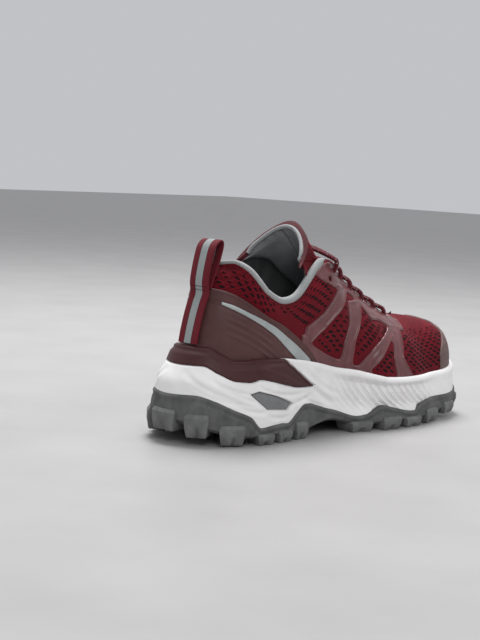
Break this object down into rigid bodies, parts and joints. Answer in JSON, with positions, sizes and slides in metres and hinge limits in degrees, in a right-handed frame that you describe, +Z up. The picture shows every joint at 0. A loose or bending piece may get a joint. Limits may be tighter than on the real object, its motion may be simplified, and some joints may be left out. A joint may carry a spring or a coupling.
{
  "type": "trail running shoe",
  "caption": "Low-cut right trail running shoe with a mesh upper, fused cage, padded collar, heel pull loop, sculpted foam midsole and lugged rubber outsole.",
  "frame": {"origin": "centre of the bounding box in plan, on the floor that the lugs stand on", "axes": "+X from the heel to the toe along the shoe, +Y to the inner (medial) side of this right shoe, +Z up"},
  "size_m": [0.3024, 0.1124, 0.1515],
  "materials": {
    "grey_rubber": "matte dark grey moulded rubber",
    "white_foam": "matte white moulded EVA foam",
    "red_mesh": "deep red engineered mesh with small holes",
    "mauve_film": "satin brownish red fused plastic film",
    "maroon_clip": "matte dark brownish red moulded plastic",
    "grey_reflective": "silver grey reflective film",
    "grey_lining": "light grey knitted lining",
    "red_webbing": "dark red woven polyester"
  },
  "bodies": {
    "root": {"outsole": "grey_rubber", "midsole": "white_foam", "window_insert_lateral": "grey_rubber", "window_insert_medial": "grey_rubber", "upper": "red_mesh", "tongue": "red_mesh", "insole": "grey_lining", "heel_clip": "maroon_clip", "heel_counter": "mauve_film", "cage_lateral": "mauve_film", "cage_medial": "mauve_film", "toe_cap": "mauve_film", "reflective_stripe_lateral": "grey_reflective", "reflective_stripe_medial": "grey_reflective", "collar_binding": "grey_lining", "laces": "red_webbing", "pull_tab": "red_webbing"}
  },
  "joints": []
}
